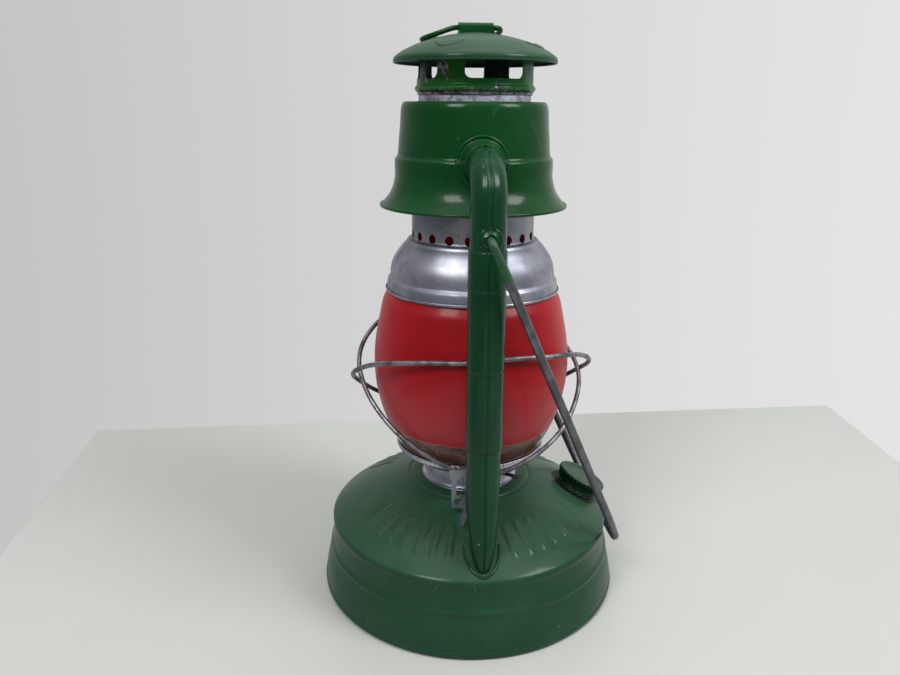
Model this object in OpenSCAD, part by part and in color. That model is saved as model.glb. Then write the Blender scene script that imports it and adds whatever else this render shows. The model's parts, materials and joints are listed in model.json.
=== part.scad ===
/* [Overall] */
// Diameter of the fount at its foot
base_d = 172; // [164:2:180]
// Height of the cap's rim
cap_rim_z = 292; // [291:0.5:294]
// Thickness of the pressed sheet metal
sheet = 0.8; // [0.7:0.05:0.9]

/* [Air tubes] */
// Distance from the lamp's axis to each air tube's axis
tube_x = 65.5; // [65.4:0.1:67]
// Outer radius of the straight tube
tube_r = 9.1; // [8.9:0.05:9.1]
// Wall of the tubes
tube_wall = 0.6; // [0.5:0.05:0.7]
// Height of the elbow's horizontal run
elbow_z = 245.5; // [245:0.5:247]
// Radius of the elbow's bend
elbow_bend = 17; // [15:0.5:18]

/* [Globe lift] */
// Travel of the globe when the crank is turned over
lift_travel = 12; // [8:1:12]
// Angle through which the crank turns
lift_swing = 120; // [100:5:120]

/* [Bail] */
// Diameter of the bail wire
bail_d = 4.4; // [3.8:0.1:4.6]
// Length from the ears to the far end of the bail
bail_len = 210; // [206:1:212]
// Radius of the bend at the bail's far end, to the middle of the wire
bail_bend_r = 50; // [46:1:56]
// Angle between the resting bail and the vertical
bail_rest = 24.5; // [24.5:0.5:30]
// Height of the ears
ear_z = 214.5; // [214:0.5:216]

/* [Filler] */
// Tilt of the filler neck away from the vertical
filler_tilt = 26; // [24:1:28]
// Outer radius of the filler cap
filler_cap_r = 13.75; // [13:0.25:14]
// Lift of the cap for one turn, and the spacing of the rolled thread
thread_lead = 3; // [2.5:0.5:3]

/* [Guard] */
// Diameter of the guard wires
guard_d = 2.6; // [2:0.1:2.6]
// Sideways lean of the guard wires
guard_skew = 4; // [0:1:5]

/* [Hidden] */
$fn = 96;

eps = 0.02;
far = 400;
base_r = base_d / 2;
sleeve_r = tube_r - tube_wall;

// Fount: height of the flat round the burner and radius of its crease
deck_z = 65.2;
crease_r = 35;
deck_hole_r = 20;

// Filler: the foot of the neck on the sloping dome
filler_y = 64.3;
filler_z = 49.1;
pocket_r = 15.5;
neck_r = 9.4;
neck_bore_r = 8.2;
neck_h = 8;
cap_gap = 0.5;
gasket_h = 1.6;
cap_skirt_z = 1.8;
cap_top_z = 11.2;
cap_sheet = 1.1;

// Burner
cup_top_z = 76.2;
cup_lip_r = 20.5;
flange_t = 0.9;
wick_w = 16.4;
wick_t = 3.2;
wick_shaft_r = 1;
wick_wheel_r = 3.2;
wick_shaft_z = 71;
wick_azimuth = 55;

// Globe plate and globe
plate_z = 78.2;
plate_r = 42.4;
plate_rim_z = 87.4;
glass = 2.6;

// Chimney stack
neck_top_z = 226;
stack_r = 28.8;
spring_top_z = 269.9;
chimney_foot_z = 222;
chimney_top_z = 281;
crown_r = stack_r + sheet;
window_z = cap_rim_z - 7.7;
crown_top_z = cap_rim_z + 7.9;
window_half = 30.5;
post_azimuth = -30;
bell_hole_z = 206.6;

// Crank: pivot axis runs along X
crank_throw = lift_travel / (2 * sin(lift_swing / 2));
crank_y = -4;
crank_z = 75.5;
crank_shaft_r = 1.3;
crank_pin_r = 1.2;
bracket_x = 52;
link_x = 45.4;
link_y = -14.2;
link_w = 10.6;
link_t = 1;

// Ears and bail
ear_x = 75.2;
bail_x = 78.6;
bail_pin_r = 1.9;
ear_bore_r = 1.96;
hook_bend = 3;

// Lift ring on the cap
ring_d = 2.6;
ring_z = cap_rim_z + 17;
strap_half = 8.8;

enamel = "#1f4a2c";
tin = "#a9abb4";
zinc = "#6d6d70";
brass = "#a08648";

// ---------- helpers ----------

function reversed(v) = [for (i = [len(v) - 1 : -1 : 0]) v[i]];

function unit(v) = v / norm(v);

// Catmull-Rom value between b and c
function between(a, b, c, d, u) =
    0.5 * (2 * b + (c - a) * u + (2 * a - 5 * b + 4 * c - d) * u * u
    + (3 * b - a - 3 * c + d) * u * u * u);

// Smooth curve through an open list of points
function smooth(p, steps = 4) =
    let (n = len(p))
    concat(
        [for (i = [0 : n - 2], k = [0 : steps - 1])
            between(p[max(i - 1, 0)], p[i], p[i + 1], p[min(i + 2, n - 1)], k / steps)],
        [p[n - 1]]
    );

// Copy of an outline moved to its right-hand side by t, kept off the far side of the axis
function inset(p, t) =
    let (n = len(p))
    [for (i = [0 : n - 1])
        let (d = unit(p[min(i + 1, n - 1)] - p[max(i - 1, 0)]))
        [max(0, p[i].x + t * d.y), p[i].y - t * d.x]];

// Pressed sheet with the given outer outline, from the axis outwards and down
module spun_sheet(outline, t = sheet) {
    rotate_extrude()
        polygon(concat(outline, reversed(inset(outline, t))));
}

// Plain ring about Z
module ring(r_out, r_in, h) {
    difference() {
        cylinder(r = r_out, h = h);
        translate([0, 0, -1])
            cylinder(r = r_in, h = h + 2);
    }
}

// Quarter or part bend of round wire in the XY plane, centred on Z
module wire_bend(bend_r, wire_r, from_angle, sweep) {
    rotate([0, 0, from_angle])
        rotate_extrude(angle = sweep)
            translate([bend_r, 0])
                circle(r = wire_r, $fn = 32);
}

// Straight round bar from the origin along +X
module bar(r, length) {
    rotate([0, 90, 0])
        cylinder(r = r, h = length, $fn = 32);
}

module at_filler() {
    translate([0, filler_y, filler_z])
        rotate([-filler_tilt, 0, 0])
            children();
}

module on_side(side) {
    if (side > 0) children();
    else mirror([1, 0, 0]) children();
}

// ---------- fount ----------

dome_line = smooth([
    [36.2, 63.9], [46, 60.4], [56, 56.2], [66, 51.2], [74, 46.6], [78.6, 43.4]
]);
deck_line = [[deck_hole_r, deck_z], [33, deck_z - 0.2], [34.4, deck_z - 0.8], [crease_r, 63.7]];
wall_line = [
    [80.2, 41.6], [80.7, 40], [80.4, 38.4],
    [80.4, 33], [81.1, 26.6], [82.2, 25.4], [82.3, 24.2], [81.9, 23.2],
    [82.8, 20.4], [84, 16.6], [84.9, 12.4], [base_r - 0.5, 7.6], [base_r - 0.3, 5]
];
foot_line = [
    [base_r + 0.1, 4], [base_r + 0.3, 2.6], [base_r, 1.1], [base_r - 0.8, 0.2], [base_r - 1.4, 0],
    [base_r - 2.6, 0], [base_r - 3.2, 0.3], [base_r - 3.4, 1.2], [base_r - 3.2, 3.4]
];

module dome_solid(grow = 0) {
    rotate_extrude()
        polygon(concat([[0, 64.5 + grow]], [for (p = dome_line) p + [grow, grow]], [[80, 10], [0, 10]]));
}

module fount_shell() {
    outer = concat(deck_line, dome_line, wall_line);
    rotate_extrude()
        polygon(concat(outer, foot_line, reversed(inset(outer, sheet))));
}

// Sheet shell with a flat pocket for the filler pressed into its dome
module fount_body() {
    color(enamel)
        difference() {
            union() {
                fount_shell();
                intersection() {
                    dome_solid();
                    at_filler()
                        translate([0, 0, -sheet])
                            cylinder(r = pocket_r + sheet, h = 20);
                }
            }
            at_filler()
                cylinder(r = pocket_r, h = 20);
            at_filler()
                translate([0, 0, -4])
                    cylinder(r = neck_r - 0.6, h = 6);
        }
}

// Disc seamed into the foot, clear of the surface that the lantern stands on
module fount_bottom() {
    color(enamel)
        spun_sheet(smooth([[0, 5.2], [40, 5], [70, 4.4], [76, 3.4], [base_r - 3.6, 3.2]], 2));
}

// ---------- filler ----------

// Flanged neck with the ridges of its rolled thread
module filler_neck() {
    ridge_r = 0.6;
    color(zinc)
        at_filler()
            difference() {
                union() {
                    cylinder(r = neck_r, h = neck_h);
                    cylinder(r = neck_r + 2.4, h = sheet);
                    for (z = [thread_lead : thread_lead : neck_h - 1])
                        translate([0, 0, z])
                            rotate_extrude()
                                translate([neck_r + 0.25 - ridge_r, 0])
                                    circle(r = ridge_r, $fn = 24);
                }
                translate([0, 0, -1])
                    cylinder(r = neck_bore_r, h = neck_h + 2);
            }
}

module filler_gasket() {
    color("#8a6a48")
        at_filler()
            translate([0, 0, neck_h + 0.05])
                ring(neck_r + 0.2, 4, gasket_h);
}

// Screw cap with a grooved rim and a dished top
module filler_cap() {
    grooves = 28;
    skirt_r = neck_r + cap_gap;
    color(enamel)
        at_filler()
            difference() {
                rotate_extrude()
                    polygon([
                        [0, cap_top_z - 0.5], [filler_cap_r - 3.4, cap_top_z - 0.5],
                        [filler_cap_r - 2.6, cap_top_z], [filler_cap_r - 0.9, cap_top_z],
                        [filler_cap_r, cap_top_z - 0.9], [filler_cap_r, cap_skirt_z + 0.6],
                        [filler_cap_r - 0.6, cap_skirt_z], [skirt_r, cap_skirt_z],
                        [skirt_r, cap_top_z - cap_sheet - 0.4], [0, cap_top_z - cap_sheet - 0.4]
                    ]);
                for (i = [0 : grooves - 1])
                    rotate([0, 0, i * 360 / grooves])
                        translate([filler_cap_r + 0.35, 0, -1])
                            cylinder(r = 0.8, h = cap_top_z, $fn = 16);
            }
}

// ---------- burner ----------

// Flanged collar in the fount's deck that the burner sits on
module burner_collar() {
    depth = 5;
    bore_r = deck_hole_r - 1.4;
    color(brass)
        translate([0, 0, deck_z - depth])
            rotate_extrude()
                polygon([
                    [bore_r, 0], [deck_hole_r - 0.05, 0], [deck_hole_r - 0.05, depth + eps],
                    [deck_hole_r + 1.6, depth + eps], [deck_hole_r + 1.6, depth + flange_t],
                    [bore_r, depth + flange_t]
                ]);
}

// Flared cup round the burner, bored for the wick shaft
module burner_cup() {
    color(tin)
        difference() {
            spun_sheet([
                [cup_lip_r, cup_top_z], [23.4, cup_top_z], [24.1, cup_top_z - 0.7], [24.8, 72],
                [25.4, 68.2], [26.4, 66.4], [27.4, deck_z + 0.66]
            ]);
            at_wick_shaft()
                translate([15, 0, 0])
                    bar(wick_shaft_r + 0.06, 20);
        }
}

// Domed deflector with the flame slot
module burner_cone() {
    color(brass)
        difference() {
            spun_sheet(concat(
                smooth([[0, 98.4], [8, 97.6], [14, 94.4], [18, 88.4], [19.6, 82]], 3),
                [[20, cup_top_z + sheet + 0.1], [21.4, cup_top_z + sheet]]
            ));
            rotate([0, 0, wick_azimuth])
                translate([-9.6, -3, 90])
                    cube([19.2, 6, 12]);
        }
}

module at_wick_shaft() {
    rotate([0, 0, wick_azimuth])
        translate([0, -(wick_t / 2 + wick_wheel_r + 0.1), wick_shaft_z])
            children();
}

// Flat tube on a round base that guides the wick, with slots for the two star wheels
module wick_tube() {
    wall = 0.5;
    gap = 0.3;
    outer = [wick_w + 2 * (wall + gap), wick_t + 2 * (wall + gap)];
    color(brass)
        difference() {
            union() {
                rotate([0, 0, wick_azimuth])
                    translate([-outer.x / 2, -outer.y / 2, 60])
                        cube([outer.x, outer.y, 33]);
                translate([0, 0, deck_z + flange_t + eps])
                    cylinder(r = 24.4, h = sheet);
            }
            rotate([0, 0, wick_azimuth])
                translate([-wick_w / 2 - gap, -wick_t / 2 - gap, 50])
                    cube([wick_w + 2 * gap, wick_t + 2 * gap, 60]);
            for (s = [-1, 1])
                at_wick_shaft()
                    translate([s * 4 - 1, -5, -4])
                        cube([2, 10, 8]);
        }
}

module wick() {
    color("#d8cdb4")
        rotate([0, 0, wick_azimuth])
            translate([-wick_w / 2, -wick_t / 2, 30])
                cube([wick_w, wick_t, 65]);
}

// Shaft with two star wheels and a flattened end to turn it by
module wick_shaft() {
    teeth = 9;
    color(zinc)
        at_wick_shaft() {
            translate([-8, 0, 0])
                bar(wick_shaft_r, 40);
            for (s = [-1, 1])
                translate([s * 4 - 0.6, 0, 0])
                    difference() {
                        bar(wick_wheel_r, 1.2);
                        for (i = [0 : teeth - 1])
                            rotate([i * 360 / teeth, 0, 0])
                                translate([-1, wick_wheel_r + 0.25, 0])
                                    bar(0.75, 4);
                    }
            translate([31.5, -1.6, -0.5])
                cube([3.4, 3.2, 1]);
        }
}

// ---------- globe and its carrier ----------

module globe_plate() {
    perforations = 24;
    color(tin)
        difference() {
            spun_sheet(concat(
                [[plate_r, plate_rim_z], [plate_r, 85.2], [plate_r - 0.5, 84.2]],
                [[plate_r - 1.4, 83.7], [37.6, 83.6]],
                smooth([[36.8, 83.1], [35.6, 80.8], [33.8, 79], [31, plate_z]], 3),
                [[22, plate_z]]
            ));
            for (i = [0 : perforations - 1])
                rotate([0, 0, i * 360 / perforations])
                    translate([27, 0, plate_z - 2])
                        cylinder(r = 1.5, h = 6, $fn = 24);
        }
}

// Hand-blown barrel globe, thicker at the foot
module globe() {
    outer = smooth([
        [43.8, 181.4], [44.7, 179.6], [45, 177], [46.3, 174.9], [48.9, 170], [50.6, 162],
        [52.5, 153], [54, 142.5], [54.3, 133], [53.4, 121], [50.6, 108.5], [46.9, 98.8],
        [43, 90.6], [40.3, 86], [38.6, 84.5]
    ], 3);
    color("#9c2430", 0.8)
        spun_sheet(outer, glass);
}

// Heights and radii of a guard wire every 30 degrees round the globe, from its low point
guard_radius = [43.9, 47.5, 55.5, 63, 60.5, 56.6, 54.7];
guard_height = [83.2, 90, 105, 127.5, 144.5, 150, 150.5];

function mirrored_at(list, i) = list[abs(((i + 6) % 12 + 12) % 12 - 6)];

function around(list, angle) =
    let (i = floor(angle / 30), u = angle / 30 - i)
    between(mirrored_at(list, i - 1), mirrored_at(list, i),
            mirrored_at(list, i + 1), mirrored_at(list, i + 2), u);

// Round wire along a path, with its cross sections turned to lie along the given directions
module wire_along(path, towards, wire_r, closed, sides = 10) {
    n = len(path);
    rings = [for (i = [0 : n - 1])
        let (
            ahead = path[closed ? (i + 1) % n : min(i + 1, n - 1)],
            behind = path[closed ? (i + n - 1) % n : max(i - 1, 0)],
            t = unit(ahead - behind),
            b = unit(cross(t, towards[i])),
            m = cross(b, t)
        )
        for (k = [0 : sides - 1])
            path[i] + wire_r * (cos(360 * k / sides) * m + sin(360 * k / sides) * b)];
    skin = [for (i = [0 : n - (closed ? 1 : 2)], k = [0 : sides - 1], half = [0, 1])
        let (
            a = i * sides + k,
            b = i * sides + (k + 1) % sides,
            c = (i + 1) % n * sides + (k + 1) % sides,
            d = (i + 1) % n * sides + k
        )
        half == 0 ? [a, c, b] : [a, d, c]];
    ends = closed ? [] : [
        [for (k = [0 : sides - 1]) k],
        [for (k = [sides - 1 : -1 : 0]) (n - 1) * sides + k]
    ];
    polyhedron(rings, concat(skin, ends));
}

// Point of a guard wire; extra widens it where the two wires cross
function guard_point(angle, extra, skew) =
    let (r = around(guard_radius, angle) + extra * pow(sin(angle), 2))
    [r * cos(angle), r * sin(angle), around(guard_height, angle) + skew * sin(angle)];

module guard_wire(extra, skew) {
    stations = 60;
    path = [for (i = [0 : stations - 1]) guard_point(i * 360 / stations, extra, skew)];
    wire_along(path, [for (p = path) [p.x, p.y, 0]], guard_d / 2, true);
}

module guard_wire_right() {
    color(zinc)
        guard_wire(0, -guard_skew);
}

module guard_wire_left() {
    color(zinc)
        rotate([0, 0, 180])
            guard_wire(3.5, -guard_skew / 2);
}

// ---------- globe lift ----------

// Crank's eye at rest, below and in front of its pivot
eye_y = crank_y - crank_throw * cos(lift_swing / 2);
eye_z = crank_z - crank_throw * sin(lift_swing / 2);

// Hanging strip that widens to a slotted foot for the crank pin, hooked over the edge of the plate
module lift_link() {
    foot_half = 3.6;
    strip_w = 2.6;
    shoulder_z = plate_rim_z - 5.6;
    hook_x = plate_r - 0.4;
    hook_w = 6;
    hook_z = plate_rim_z + 0.1;
    slot_front = crank_y - crank_throw;
    slot_half = crank_pin_r + 0.75;
    back_y = link_y + link_w;
    color(tin)
        difference() {
            union() {
                translate([link_x, 0, 0])
                    rotate([90, 0, 90])
                        linear_extrude(link_t)
                            polygon([
                                [link_y - 1.2, hook_z + sheet], [back_y, hook_z + sheet],
                                [back_y, hook_z - 2], [back_y - 4, hook_z - 3],
                                [link_y + strip_w, shoulder_z], [link_y + strip_w, eye_z + foot_half],
                                [back_y, eye_z + foot_half], [back_y, eye_z - foot_half],
                                [link_y, eye_z - foot_half], [link_y, shoulder_z],
                                [link_y - 1.2, hook_z - 1]
                            ]);
                translate([hook_x, back_y - hook_w, hook_z])
                    cube([link_x + link_t - hook_x, hook_w, sheet]);
            }
            for (y = [eye_y, slot_front])
                translate([link_x - 1, y, eye_z])
                    bar(slot_half, link_t + 2);
            translate([link_x - 1, slot_front, eye_z - slot_half])
                cube([link_t + 2, eye_y - slot_front, 2 * slot_half]);
        }
}

// Shaft, throw, pin and thumb tab in one piece
module lift_crank() {
    arm_x = 48;
    arm_w = 4.4;
    arm_t = 1.4;
    tab_x = 49.8;
    tab_angle = 160;
    color(tin)
        union() {
            translate([arm_x, crank_y, crank_z])
                bar(crank_shaft_r, bracket_x + 4.6 - arm_x);
            translate([link_x - 0.5, eye_y, eye_z])
                bar(crank_pin_r, arm_x - link_x + 1);
            translate([arm_x, crank_y, crank_z])
                rotate([90 + lift_swing / 2, 0, 0])
                    translate([0, -arm_w / 2, -arm_w / 2])
                        cube([arm_t, arm_w, crank_throw + arm_w]);
            translate([tab_x, crank_y, crank_z])
                rotate([tab_angle, 0, 0])
                    thumb_tab();
        }
}

// Stem round the shaft, turned outwards into a blade for the thumb
module thumb_tab() {
    stem_w = 3.6;
    blade_z = 8.5;
    translate([0, -stem_w / 2, -stem_w / 2])
        cube([1.4, stem_w, blade_z + 2]);
    translate([0, -0.6, blade_z])
        cube([6.4, 1.2, 7]);
}

// Block on the tube's inner face that carries the crank
module crank_bracket() {
    block = [8, 8, 7.2];
    color(zinc)
        difference() {
            translate([bracket_x, crank_y - block.y / 2, crank_z - block.z / 2])
                cube(block);
            translate([bracket_x - 1, crank_y, crank_z])
                bar(crank_shaft_r + 0.05, 5.8);
            translate([tube_x, 0, 0])
                cylinder(r = sleeve_r + eps, h = far);
        }
}

// ---------- air tubes ----------

seam_r = 0.7;
elbow_end_x = 39;

// Straight outer seam on a vertical tube, as a cutter
module seam_cut(outer_r, z0, z1) {
    translate([tube_x + outer_r + 0.2, 0, z0])
        cylinder(r = seam_r, h = z1 - z0, $fn = 24);
}

// Round body through a list of heights and radii
module tapered(stages) {
    rotate_extrude()
        polygon(concat(
            [[0, stages[0].x]], [for (p = stages) [p.y, p.x]], [[0, stages[len(stages) - 1].x]]
        ));
}

// Lower section: enters the straight tube above and narrows to the dome below
module tube_foot(side) {
    top = 116;
    knee = 84;
    lean = 11;
    taper = [[0, sleeve_r], [30, 7], [44, 3]];
    color(enamel)
        on_side(side)
            difference() {
                union() {
                    translate([tube_x, 0, knee])
                        cylinder(r = sleeve_r, h = top - knee);
                    translate([tube_x, 0, knee])
                        sphere(r = sleeve_r);
                    translate([tube_x, 0, knee])
                        rotate([0, 180 - lean, 0])
                            tapered(taper);
                }
                translate([tube_x, 0, knee])
                    cylinder(r = sleeve_r - tube_wall, h = far);
                translate([tube_x, 0, knee])
                    sphere(r = sleeve_r - tube_wall);
                translate([tube_x, 0, knee])
                    rotate([0, 180 - lean, 0])
                        tapered([for (p = taper) p - [0, tube_wall]]);
                dome_solid(eps);
                seam_cut(sleeve_r, knee, top);
            }
}

module tube_foot_right() {
    tube_foot(1);
}

module tube_foot_left() {
    tube_foot(-1);
}

// Straight section with crimped rings, sleeved over the foot and the elbow
module air_tube(side) {
    bottom = 110;
    top = 209;
    crimps = [150.4, 189.8];
    color(enamel)
        on_side(side)
            difference() {
                translate([tube_x, 0, bottom])
                    ring(tube_r, sleeve_r + eps, top - bottom);
                seam_cut(tube_r, bottom - 1, top + 1);
                for (z = crimps)
                    translate([tube_x, 0, z])
                        rotate_extrude()
                            translate([tube_r + 0.55, 0])
                                circle(r = 0.8, $fn = 16);
            }
}

module air_tube_right() {
    air_tube(1);
}

module air_tube_left() {
    air_tube(-1);
}

// Elbow outline solid of radius r, from inside the canopy to the straight tube
module elbow_solid(r, bottom) {
    bend_x = tube_x - elbow_bend;
    translate([elbow_end_x, 0, elbow_z])
        rotate([0, 90, 0])
            cylinder(r = r, h = bend_x - elbow_end_x);
    translate([bend_x, 0, elbow_z - elbow_bend])
        rotate([90, 0, 0])
            rotate_extrude(angle = 90)
                translate([elbow_bend, 0])
                    circle(r = r, $fn = 48);
    translate([tube_x, 0, bottom])
        cylinder(r = r, h = elbow_z - elbow_bend - bottom);
}

module tube_elbow(side) {
    bottom = 203;
    color(enamel)
        on_side(side)
            difference() {
                elbow_solid(sleeve_r, bottom);
                elbow_solid(sleeve_r - tube_wall, bottom);
                translate([elbow_end_x - 1, 0, elbow_z])
                    rotate([0, 90, 0])
                        cylinder(r = sleeve_r - tube_wall, h = 2);
                translate([tube_x, 0, bottom - 1])
                    cylinder(r = sleeve_r - tube_wall, h = 2);
                translate([tube_x, 0, ear_z])
                    bar(bail_pin_r + 0.5, 12);
                seam_cut(sleeve_r, bottom - 1, elbow_z - elbow_bend);
                translate([tube_x - elbow_bend, 0, elbow_z - elbow_bend])
                    rotate([90, 0, 0])
                        wire_bend(elbow_bend + sleeve_r + 0.2, seam_r, 0, 90);
            }
}

module tube_elbow_right() {
    tube_elbow(1);
}

module tube_elbow_left() {
    tube_elbow(-1);
}

// Dished flange where a tube enters the canopy
module tube_collar(side) {
    color(enamel)
        on_side(side)
            difference() {
                translate([36, 0, elbow_z])
                    rotate([0, 90, 0])
                        rotate_extrude()
                            polygon([
                                [sleeve_r + eps, 0], [12.8, 0], [12.8, 3.4], [12.1, 5], [10.3, 6.4],
                                [9.6, 8.6], [sleeve_r + eps, 9.6]
                            ]);
                canopy_solid(eps);
            }
}

module tube_collar_right() {
    tube_collar(1);
}

module tube_collar_left() {
    tube_collar(-1);
}

// ---------- canopy ----------

canopy_line = concat(
    [[29.6, 270.6]],
    smooth([[32, 271.6], [34.4, 273.2], [36.4, 273.6], [37.8, 272], [38.4, 268]], 3),
    [[39.1, 257], [39.9, 248], [40.3, 246.6], [41.3, 245.6], [41.6, 244.4]],
    smooth([[41.5, 237], [42.3, 233.4], [43.5, 229], [46.4, 225.4], [49.2, 222.2]], 3)
);

module canopy_solid(grow) {
    rotate_extrude()
        polygon(concat([[0, 272]], [for (p = canopy_line) p + [grow, 0]], [[0, 222]]));
}

module canopy() {
    color(enamel)
        difference() {
            union() {
                spun_sheet(canopy_line);
                translate([0, 0, 221.9])
                    rotate_extrude()
                        translate([48.9, 0])
                            circle(r = 0.9, $fn = 24);
            }
            for (s = [-1, 1])
                rotate([0, s * 90, 0])
                    translate([-s * elbow_z, 0, 20])
                        cylinder(r = sleeve_r + eps, h = 30);
        }
}

// ---------- ears and bail ----------

module bail_ear(side) {
    tube_face = tube_x + sleeve_r;
    color(enamel)
        on_side(side)
            difference() {
                translate([tube_face - 2.6, 0, ear_z])
                    rotate([0, 90, 0])
                        rotate_extrude()
                            polygon([
                                [ear_bore_r, 0], [5.6, 0], [5.6, 2.4], [4.6, 3.4], [3.6, 3.7],
                                [3.2, ear_x - tube_face + 2.6], [ear_bore_r, ear_x - tube_face + 2.6]
                            ]);
                translate([tube_x, 0, 0])
                    cylinder(r = sleeve_r + eps, h = far);
            }
}

module bail_ear_right() {
    bail_ear(1);
}

module bail_ear_left() {
    bail_ear(-1);
}

// Bail in the XY plane: distance to its bend's centre, and the lean of its arms
bail_hook_len = 21;
bend_centre = bail_len - bail_d / 2 - bail_bend_r;
arm_start = hook_bend + bail_hook_len;
bail_lean = acos(bail_bend_r / norm([bail_x, bend_centre - arm_start]))
    - atan2(bend_centre - arm_start, bail_x);

// Half of the bail's ends: pin, bend and the straight length below it
module bail_hook() {
    pin_x = tube_x + sleeve_r - 2.4;
    translate([pin_x, 0, 0])
        bar(bail_pin_r, bail_x - hook_bend - pin_x);
    translate([bail_x - hook_bend, -hook_bend, 0])
        wire_bend(hook_bend, bail_pin_r, 0, 90);
    translate([bail_x, -hook_bend, 0])
        rotate([90, 0, 0])
            cylinder(r = bail_pin_r, h = bail_hook_len - 5);
}

// Wire from hook to hook; -Y points to the grip
module bail_bow() {
    steps = 28;
    overlap = 12;
    turn = 180 - 2 * bail_lean;
    path = concat(
        [[bail_x, overlap - arm_start, 0], [bail_x, -arm_start, 0]],
        [for (i = [0 : steps])
            let (angle = -bail_lean - turn * i / steps)
            [bail_bend_r * cos(angle), bail_bend_r * sin(angle) - bend_centre, 0]],
        [[-bail_x, -arm_start, 0], [-bail_x, overlap - arm_start, 0]]
    );
    wire_along(path, [for (p = path) [0, 0, 1]], bail_d / 2, false, 16);
}

// Carrying bail, resting against the fount on the filler's side
module bail() {
    color(zinc)
        translate([0, 0, ear_z])
            rotate([90 + bail_rest, 0, 0])
                union() {
                    bail_hook();
                    mirror([1, 0, 0])
                        bail_hook();
                    bail_bow();
                }
}

// ---------- chimney stack ----------

// Coil that presses the stack down on the globe
module chimney_spring() {
    turns = 5;
    wire_r = 0.7;
    coil_r = 31.2;
    z0 = neck_top_z + wire_r + 0.1;
    z1 = spring_top_z - wire_r;
    steps = 24;
    path = [for (i = [0 : turns * steps])
        [coil_r * cos(i * 360 / steps), coil_r * sin(i * 360 / steps),
            z0 + (z1 - z0) * i / (turns * steps)]];
    color(zinc)
        wire_along(path, [for (p = path) [p.x, p.y, 0]], wire_r, false, 8);
}

// Perforated bell that covers the globe's mouth
module bell() {
    holes = 20;
    outline = concat(
        [[stack_r + eps, neck_top_z], [31.6, neck_top_z], [32.8, neck_top_z - 1.2], [32.8, 205.6]],
        smooth([[33.6, 204.3], [36.9, 201.6], [40.3, 197.4], [43.3, 193], [44.5, 188]], 3),
        [[44.6, 184.6], [45.9, 183], [46.5, 180.4], [46.7, 178]]
    );
    color(tin)
        difference() {
            union() {
                spun_sheet(outline);
                translate([0, 0, 177])
                    rotate_extrude()
                        translate([46.4, 0])
                            circle(r = 1.1, $fn = 24);
            }
            for (i = [0 : holes - 1])
                rotate([0, 0, (i + 0.5) * 360 / holes])
                    translate([28, 0, bell_hole_z])
                        bar(2.3, 8);
        }
}

module chimney() {
    color(tin)
        translate([0, 0, chimney_foot_z])
            ring(stack_r, stack_r - sheet, chimney_top_z - chimney_foot_z);
}

// Collar with four draught windows open at the top
module crown_ring() {
    r_in = stack_r + eps;
    corner = 3;
    half_w = crown_r * sin(window_half);
    color(enamel)
        difference() {
            rotate_extrude()
                polygon([
                    [r_in, 277], [crown_r - 0.1, 277], [crown_r, 278.2], [crown_r + 0.9, 278.9],
                    [crown_r + 1.3, 279.9], [crown_r + 0.9, 280.9], [crown_r, 281.8],
                    [crown_r, crown_top_z], [r_in, crown_top_z]
                ]);
            for (i = [0 : 3])
                rotate([0, 0, post_azimuth + 45 + i * 90])
                    rotate([90, 0, 90])
                        translate([0, 0, 10])
                            linear_extrude(30)
                                union() {
                                    translate([-half_w, window_z + corner])
                                        square([2 * half_w, 30]);
                                    translate([-half_w + corner, window_z])
                                        square([2 * (half_w - corner), 30]);
                                    for (s = [-1, 1])
                                        translate([s * (half_w - corner), window_z + corner])
                                            circle(r = corner, $fn = 32);
                                }
        }
}

// Radius and height above the rim
cap_line = [for (p = concat(
    smooth([[0, 14.5], [10, 13.9], [20, 12], [30, 9], [37, 5.7], [40.6, 3.2]], 3),
    [[41.7, 2], [41.9, 1], [41.7, 0]]
)) [p.x, cap_rim_z + p.y]];

module cap_solid() {
    rotate_extrude()
        polygon(concat(cap_line, [[0, cap_rim_z]]));
}

// Domed cap with four pressed crescents over the posts
module cap() {
    crescent_r = 6.4;
    slope = 25;
    centre = [29.2, 0, cap_rim_z + 9.2];
    color(enamel)
        union() {
            spun_sheet(cap_line);
            for (i = [0 : 3])
                rotate([0, 0, post_azimuth + i * 90])
                    translate(centre)
                        rotate([0, slope, 0])
                            intersection() {
                                translate([0, 0, -0.6])
                                    ring(crescent_r + 0.5, crescent_r - 0.4, 1.1);
                                translate([0, -crescent_r - 1, -1])
                                    cube([2 * crescent_r, 2 * crescent_r + 2, 3]);
                            }
        }
}

// Saddle that holds the lift ring
module cap_strap() {
    r_in = ring_d / 2 + 0.3;
    color(enamel)
        difference() {
            translate([0, strap_half, 0])
                rotate([90, 0, 0])
                    linear_extrude(2 * strap_half)
                        difference() {
                            union() {
                                translate([0, ring_z])
                                    circle(r = r_in + sheet, $fn = 48);
                                translate([-r_in - sheet, ring_z - 4])
                                    square([2 * (r_in + sheet), 4]);
                                translate([-6, ring_z - 3.4])
                                    square([12, 1.6]);
                            }
                            translate([0, ring_z])
                                circle(r = r_in, $fn = 48);
                            translate([-r_in, ring_z - 5])
                                square([2 * r_in, 5]);
                        }
            cap_solid();
        }
}

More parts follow.
